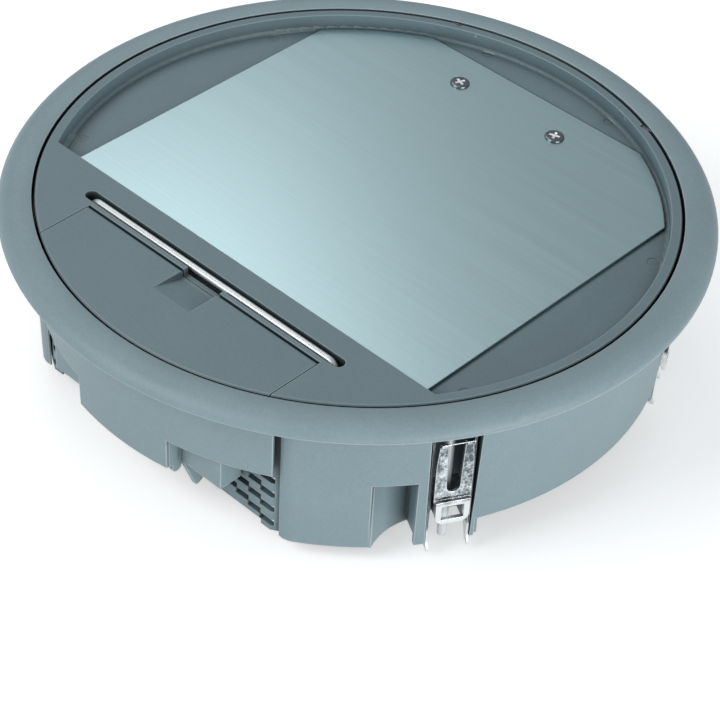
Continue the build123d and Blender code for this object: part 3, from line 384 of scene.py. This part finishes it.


# Lid plate. Cold-rolled steel sheet with a fine brushed grain that runs along the bar, laid in the
# lid's recess. A dark line of painted shadow runs round its edges, apart from the one that butts against the
# front strip.
def brushed_metal(name, tone, roughness, grain_scale=(6.0, 900.0, 900.0), depth=0.00001, edge_radius=0.0004):
    material, tree, shader = new_material(name)
    place = tree.nodes.new("ShaderNodeTexCoord")
    stretch = tree.nodes.new("ShaderNodeMapping")
    stretch.inputs["Scale"].default_value = grain_scale
    tree.links.new(place.outputs["Object"], stretch.inputs["Vector"])
    lines = noise(tree, stretch.outputs["Vector"], scale=1.0, detail=4.0)
    edges = group_node(tree, edge_group, Radius=edge_radius)
    streaks = mixed(tree, lines, brightened(tone, 0.92), brightened(tone, 1.07))
    tree.links.new(streaks, shader.inputs["Base Color"])
    rough_range = (roughness - roughness_spread, roughness + roughness_spread)
    tree.links.new(mapped(tree, lines, to_range=rough_range), shader.inputs["Roughness"])
    brushed = bumped(tree, lines, edges["Rounded Normal"], strength=0.25, distance=depth)
    tree.links.new(brushed, shader.inputs["Normal"])
    shader.inputs["Metallic"].default_value = 1.0
    return material


plate_low, plate_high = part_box("lid_plate")
strip_margin = 0.0015
shadow_line_width = 0.0009
shadow_line_tone = (0.012, 0.017, 0.020)
plate_steel = brushed_metal("plate_steel", tone=(0.49, 0.66, 0.69), roughness=0.34)
tree = plate_steel.node_tree
shader = tree.nodes["Principled BSDF"]
place = tree.nodes.new("ShaderNodeTexCoord")
spot = tree.nodes.new("ShaderNodeSeparateXYZ")
tree.links.new(place.outputs["Object"], spot.inputs["Vector"])
# Painted shadow: a dark line along the plate's edges, except the one at the front strip, stands in for the
# shadow gap round the plate.
off_strip_range = (plate_low[1] + strip_margin, plate_low[1] + 2 * strip_margin)
off_strip = mapped(tree, spot.outputs["Y"], from_range=off_strip_range)
shadow_line_edge = group_node(tree, edge_group, Radius=shadow_line_width)
painted_shadow_line = calculate(tree, "MULTIPLY", off_strip, shadow_line_edge["Mask"])
brushed_colour = shader.inputs["Base Color"].links[0].from_socket
tree.links.new(mixed(tree, painted_shadow_line, brushed_colour, shadow_line_tone), shader.inputs["Base Color"])
dress_node("lid_plate", plate_steel, flat_smooth_deg)

# Lid plate screws. Two zinc-plated machine screws with low domed heads and a cross recess, whose
# arms are coloured pale and less metallic than the heads. They hold the plate to the lid at the back.
screws_low, screws_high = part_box("lid_plate_screws")
head_radius = 0.0045
head_height = 0.0011
dome_width = 0.0009
recess_length = 0.0062
recess_width = 0.0015
recess_depth = 0.0007
recess_taper = 0.6
pale_recess_radius = 0.0033
screw_turn = radians(20)
head_smooth_deg = 30.0
shank_radius = 0.0020
skin = 0.0001
seat_z = plate_high[2]
head_top = seat_z + head_height
shank_top = seat_z + skin
shank_length = shank_top - screws_low[2]
screw_x = screws_high[0] - (screws_high[1] - screws_low[1]) / 2
screw_y = (screws_high[1] + screws_low[1]) / 2
bpy.ops.mesh.primitive_cylinder_add(vertices=64, radius=head_radius, depth=head_height,
                                    location=(0, 0, head_top - head_height / 2))
screw = bpy.context.object
screw.name = "lid_plate_screw_pattern"
bpy.ops.object.transform_apply(location=True, rotation=True, scale=True)
for edge in screw.data.edges:
    ends = [screw.data.vertices[i].co for i in edge.vertices]
    edge.select = all(end.z > head_top - skin for end in ends)
for face in screw.data.polygons:
    face.select = False
for vertex in screw.data.vertices:
    vertex.select = vertex.co.z > head_top - skin
bpy.ops.object.mode_set(mode="EDIT")
bpy.ops.mesh.select_mode(type="EDGE")
bpy.ops.mesh.bevel(offset=dome_width, segments=5, profile=0.55, affect="EDGES")
bpy.ops.object.mode_set(mode="OBJECT")
recess_arms = []
for arm_size in ((recess_length, recess_width), (recess_width, recess_length)):
    bpy.ops.mesh.primitive_cube_add(size=1.0, location=(0, 0, head_top))
    arm = bpy.context.object
    arm.scale = (*arm_size, 2 * recess_depth)
    bpy.ops.object.transform_apply(location=True, rotation=True, scale=True)
    for vertex in arm.data.vertices:
        if vertex.co.z < head_top:
            vertex.co.x *= recess_taper
            vertex.co.y *= recess_taper
    recess_arms.append(arm)
for arm in recess_arms:
    cut = screw.modifiers.new("cross_recess", "BOOLEAN")
    cut.operation = "DIFFERENCE"
    cut.object = arm
    bpy.context.view_layer.objects.active = screw
    bpy.ops.object.modifier_apply(modifier=cut.name)
for arm in recess_arms:
    bpy.data.objects.remove(arm)
bpy.ops.mesh.primitive_cylinder_add(vertices=32, radius=shank_radius, depth=shank_length,
                                    location=(0, 0, shank_top - shank_length / 2))
screw.select_set(True)
bpy.context.view_layer.objects.active = screw
bpy.ops.object.join()
bpy.ops.object.transform_apply(location=True, rotation=True, scale=True)
screw_grain = (300.0, 300.0, 60.0)
screw_zinc = brushed_metal("screw_zinc", tone=(0.20, 0.24, 0.26), roughness=0.24, grain_scale=screw_grain)
pale_recess_zinc = brushed_metal("pale_recess_zinc", tone=(0.90, 0.92, 0.92), roughness=0.45, grain_scale=screw_grain)
pale_recess_zinc.node_tree.nodes["Principled BSDF"].inputs["Metallic"].default_value = 0.35
screw.data.materials.append(screw_zinc)
screw.data.materials.append(pale_recess_zinc)
for face in screw.data.polygons:
    near_axis = Vector(face.center[:2]).length < pale_recess_radius
    in_recess = near_axis and shank_top < face.center.z < head_top - skin / 2
    face.material_index = 1 if in_recess else 0
bpy.ops.object.shade_smooth_by_angle(angle=radians(head_smooth_deg))
for side, side_name in ((-1, "left"), (1, "right")):
    plate_screw = screw.copy()
    plate_screw.data = screw.data.copy()
    plate_screw.name = f"lid_plate_screw_{side_name}"
    spin = Matrix.Rotation(side * screw_turn, 4, "Z")
    plate_screw.data.transform(Matrix.Translation((side * screw_x, screw_y, 0)) @ spin)
    bpy.context.scene.collection.objects.link(plate_screw)
    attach(plate_screw, "lid")
    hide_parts("lid_plate_screws")
bpy.data.objects.remove(screw)
bpy.ops.object.select_all(action="DESELECT")

# Handle bar. A length of bright drawn wire, bent down at both ends into the lid's slot. The die
# leaves it smooth, and hands have dulled its shine a little.
wire_smooth_deg = 50.0
wire_steel = brushed_metal("wire_steel", tone=(0.72, 0.76, 0.77), roughness=0.46,
                           grain_scale=(40.0, 900.0, 900.0), depth=0.000001, edge_radius=0.0001)
dress_node("handle_bar", wire_steel, wire_smooth_deg)

# Claws. Folded steel strip, barrel plated with zinc, so that its faces are speckled bright and
# dark where the crystals of the plating lie, and its rubbed edges and foot are bright.
bay_names = ("rear_right", "rear_left", "front_left", "front_right")
claw_fold_z = 0.031
strip_smooth_deg = 30.0


def speckled_zinc(name, dark, bright, roughness, rubbed_below, speckle_size=900.0):
    rubbed_tone = (0.88, 0.90, 0.90)
    rubbed_band = 0.0008
    edge_radius = 0.0005
    cavity_reach = 0.003
    material, tree, shader = new_material(name)
    place = tree.nodes.new("ShaderNodeTexCoord").outputs["Object"]
    crystals = noise(tree, place, speckle_size, detail=2.0, roughness=0.7)
    clouds = noise(tree, place, speckle_size / 5, detail=2.0)
    plating = calculate(tree, "ADD", crystals, clouds)
    crisp_plating = mapped(tree, plating, from_range=(0.86, 1.28))
    speckles = mixed(tree, crisp_plating, dark, bright)
    edges = group_node(tree, edge_group, Radius=edge_radius)
    spot = tree.nodes.new("ShaderNodeSeparateXYZ")
    tree.links.new(place, spot.inputs["Vector"])
    foot_range = (rubbed_below + rubbed_band, rubbed_below - rubbed_band)
    foot = mapped(tree, spot.outputs["Z"], from_range=foot_range, to_range=(0.0, 0.8))
    rubbed_part = calculate(tree, "MAXIMUM", edges["Mask"], foot)
    rubbed = mixed(tree, rubbed_part, speckles, rubbed_tone)
    tree.links.new(shaded(tree, rubbed, cavity_reach), shader.inputs["Base Color"])
    rough = mapped(tree, crisp_plating, to_range=(roughness + 0.10, roughness - 0.08))
    tree.links.new(rough, shader.inputs["Roughness"])
    pitted = bumped(tree, plating, edges["Rounded Normal"], strength=0.5, distance=0.00012)
    tree.links.new(pitted, shader.inputs["Normal"])
    shader.inputs["Metallic"].default_value = 0.9
    return material


claw_zinc = speckled_zinc("claw_zinc", dark=(0.10, 0.125, 0.14), bright=(0.74, 0.79, 0.82),
                          roughness=0.28, rubbed_below=claw_fold_z)
for bay_name in bay_names:
    dress_node(f"claw_{bay_name}", claw_zinc, strip_smooth_deg)

# Claw guides. Bent strips that line the sides of each bay, duller than the claws because
# nothing rubs them, with their hooked tips below the frame.
guide_tip_z = 0.014
guide_zinc = speckled_zinc("guide_zinc", dark=(0.06, 0.075, 0.085), bright=(0.26, 0.30, 0.32),
                           roughness=0.45, rubbed_below=guide_tip_z, speckle_size=600.0)
for bay_name in bay_names:
    dress_node(f"claw_guide_{bay_name}", guide_zinc, strip_smooth_deg)

# Claw screws, nuts and the other small steel. The claw screws turn from above with the lid open and
# draw the square nuts, held in the claws' feet, up and down. All of it is plated in dull zinc.
turned_smooth_deg = 40.0
zinc_steel = brushed_metal("zinc_steel", tone=(0.70, 0.74, 0.75), roughness=0.44,
                           grain_scale=(160.0, 160.0, 60.0), depth=0.00002)
zinc_steel.node_tree.nodes["Principled BSDF"].inputs["Metallic"].default_value = 0.5
for bay_name in bay_names:
    for kind in ("claw_nut", "claw_screw"):
        dress_node(f"{kind}_{bay_name}", zinc_steel, turned_smooth_deg)
for node in ("handle_clips", "housing_screws", "box_screws", "centre_screws"):
    dress_node(node, zinc_steel, turned_smooth_deg)

# Hinge pins. Short lengths of drawn steel rod, blackened so that they don't show in the gap
# round the lid, pressed into its ears and free in the bores of the frame and the flap.
blackened_steel = brushed_metal("blackened_steel", tone=(0.09, 0.095, 0.10), roughness=0.42,
                                grain_scale=(40.0, 900.0, 900.0))
for node in ("lid_hinge_pins", "flap_pins"):
    dress_node(node, blackened_steel, turned_smooth_deg)

# Device boxes and covers. Three black moulded trays that hold the wiring, each closed by a dark
# grey cover plate with two screws. They are seen when the lid is open.
box_black = moulded_plastic("box_black", tone=(0.035, 0.038, 0.042), edge_tone_worn_and_highlit=(0.10, 0.11, 0.12),
                            roughness=0.55)
cover_grey = moulded_plastic("cover_grey", tone=(0.07, 0.075, 0.08), edge_tone_worn_and_highlit=(0.16, 0.17, 0.18))
for box_name in ("left", "centre", "right"):
    dress_node(f"device_box_{box_name}", box_black)
    dress_node(f"box_cover_{box_name}", cover_grey)

# Socket inserts and data outlets. Glossy off-white thermoset mouldings in the openings of the
# covers. Each socket has its plated earth contact and a centre screw, and each outlet two ports.
insert_white = moulded_plastic("insert_white", tone=(0.78, 0.78, 0.74), edge_tone_worn_and_highlit=(0.85, 0.85, 0.82),
                               grain_size=400.0, grain_depth=0.00001, roughness=0.28)
for place_name in ("left_front", "left_middle", "left_rear", "right_front", "right_middle", "right_rear"):
    dress_node(f"power_socket_{place_name}", insert_white)
    dress_node(f"earth_contact_{place_name}", zinc_steel)
for place_name in ("front", "middle", "rear"):
    dress_node(f"data_outlet_{place_name}", insert_white)
